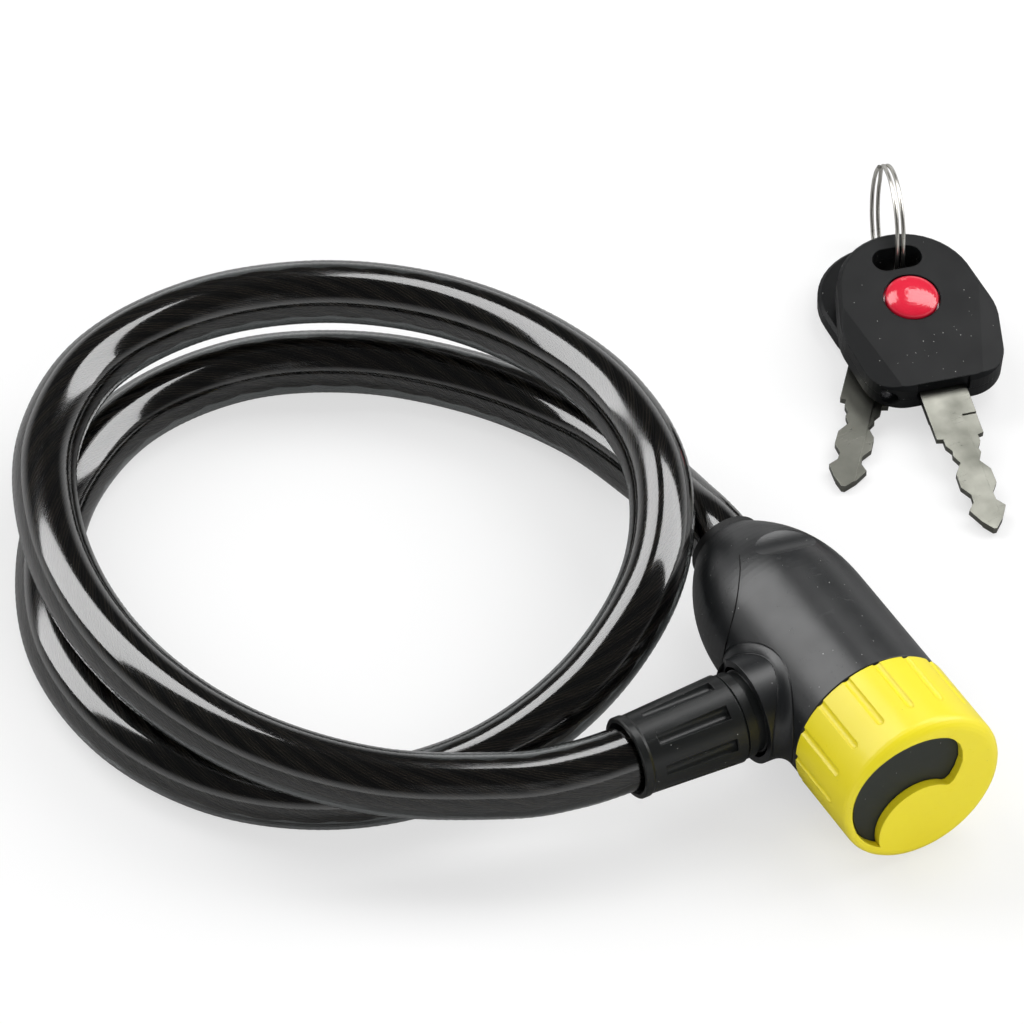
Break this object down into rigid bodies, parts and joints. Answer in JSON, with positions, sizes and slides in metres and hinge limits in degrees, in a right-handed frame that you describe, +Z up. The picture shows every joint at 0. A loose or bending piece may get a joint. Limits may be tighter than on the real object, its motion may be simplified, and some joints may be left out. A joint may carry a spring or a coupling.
{
  "type": "cable lock",
  "caption": "Coiled steel-cable lock with a keyed lock head, turning dust cap, pull-out plug and two keys on a split ring.",
  "frame": {"origin": "floor point at the middle of the coiled cable's loops", "axes": "+Z up, +X towards the lock head's side of the coil, +Y from the dust cap towards the head's nose"},
  "size_m": [0.2546, 0.2206, 0.0396],
  "materials": {
    "black_plastic": "satin black moulding",
    "black_rubber": "matt",
    "zinc_casting": "die-cast",
    "brass": "turned",
    "plated_steel": "plated",
    "spring_steel": "bright",
    "dark_plate": "matt dark grey",
    "yellow_plastic": "satin yellow moulding",
    "ferrule_metal": "pressed",
    "dark_steel": "blackened",
    "clear_jacket": "smoky clear vinyl",
    "steel_rope": "dark twisted strands",
    "key_plastic": "fine-grained black",
    "key_blade": "nickel-plated",
    "red_button": "glossy red",
    "circuit_board": "board",
    "lamp_lens": "clear",
    "ring_steel": "nickel-plated"
  },
  "bodies": {
    "lock_head": {"head_housing": "black_plastic", "nose_grommet": "black_rubber", "lock_body": "zinc_casting", "cylinder_sleeve": "brass", "face_plate": "dark_plate", "cap_snap_ring": "spring_steel", "detent_ball": "plated_steel", "detent_spring": "spring_steel", "head_ferrule": "ferrule_metal", "ferrule_screw": "dark_steel", "cable_jacket": "clear_jacket", "cable_rope": "steel_rope"},
    "cap": {"dust_cap": "yellow_plastic"},
    "cylinder": {"key_cylinder": "brass", "wafers": "plated_steel", "wafer_springs": "spring_steel", "cylinder_clip": "spring_steel", "cam": "zinc_casting"},
    "bolt": {"locking_bolt": "plated_steel"},
    "plug": {"plug_pin": "plated_steel", "plug_ferrule": "ferrule_metal", "plug_cross_pin": "dark_steel", "plug_rings": "black_plastic", "grip_sleeve": "black_plastic", "cable_jacket_end": "clear_jacket", "cable_rope_end": "steel_rope"},
    "ring": {"split_ring": "ring_steel"},
    "light_key": {"light_key_cover": "key_plastic", "light_key_base": "key_plastic", "light_key_blade": "key_blade", "light_circuit": "circuit_board", "button_cell": "plated_steel", "cell_contact": "brass", "key_lamp": "lamp_lens", "key_screw": "dark_steel"},
    "button": {"light_button": "red_button"},
    "spare_key": {"spare_key_head": "key_plastic", "spare_key_blade": "key_blade"}
  },
  "joints": [
    {"name": "cap_turn", "type": "hinge", "parent": "lock_head", "child": "cap", "pos_m": [0.07, -0.112, 0.0198], "axis": [0, -1, 0], "range_deg": [0, 165]},
    {"name": "key_turn", "type": "hinge", "parent": "lock_head", "child": "cylinder", "pos_m": [0.07, -0.112, 0.0115], "axis": [0, -1, 0], "range_deg": [0, 90]},
    {"name": "bolt_lift", "type": "slide", "parent": "lock_head", "child": "bolt", "axis": [0, 0, 1], "range_m": [0, 0.00226]},
    {"name": "plug_pull", "type": "slide", "parent": "lock_head", "child": "plug", "axis": [-1, 0, 0], "range_m": [0, 0.03], "deforming": ["cable_jacket_end", "cable_rope_end"]},
    {"name": "keys_lift", "type": "slide", "parent": "lock_head", "child": "ring", "axis": [0, 0, 1], "range_m": [0, 0.05]},
    {"name": "light_key_swing", "type": "hinge", "parent": "ring", "child": "light_key", "pos_m": [0.1576, 0.0211, 0.0152], "axis": [0, 0, 1], "range_deg": [-20, 40]},
    {"name": "button_press", "type": "slide", "parent": "light_key", "child": "button", "axis": [0.0395, 0.162, -0.986], "range_m": [0, 0.0006], "stiffness_N_per_m": 2000},
    {"name": "spare_key_swing", "type": "hinge", "parent": "ring", "child": "spare_key", "pos_m": [0.1584, 0.0244, 0.0056], "axis": [0, 0, 1], "range_deg": [-20, 15]}
  ],
  "couplings": [
    {"joint": "bolt_lift", "follows": "key_turn", "m_per_rad": 0.0014405}
  ]
}
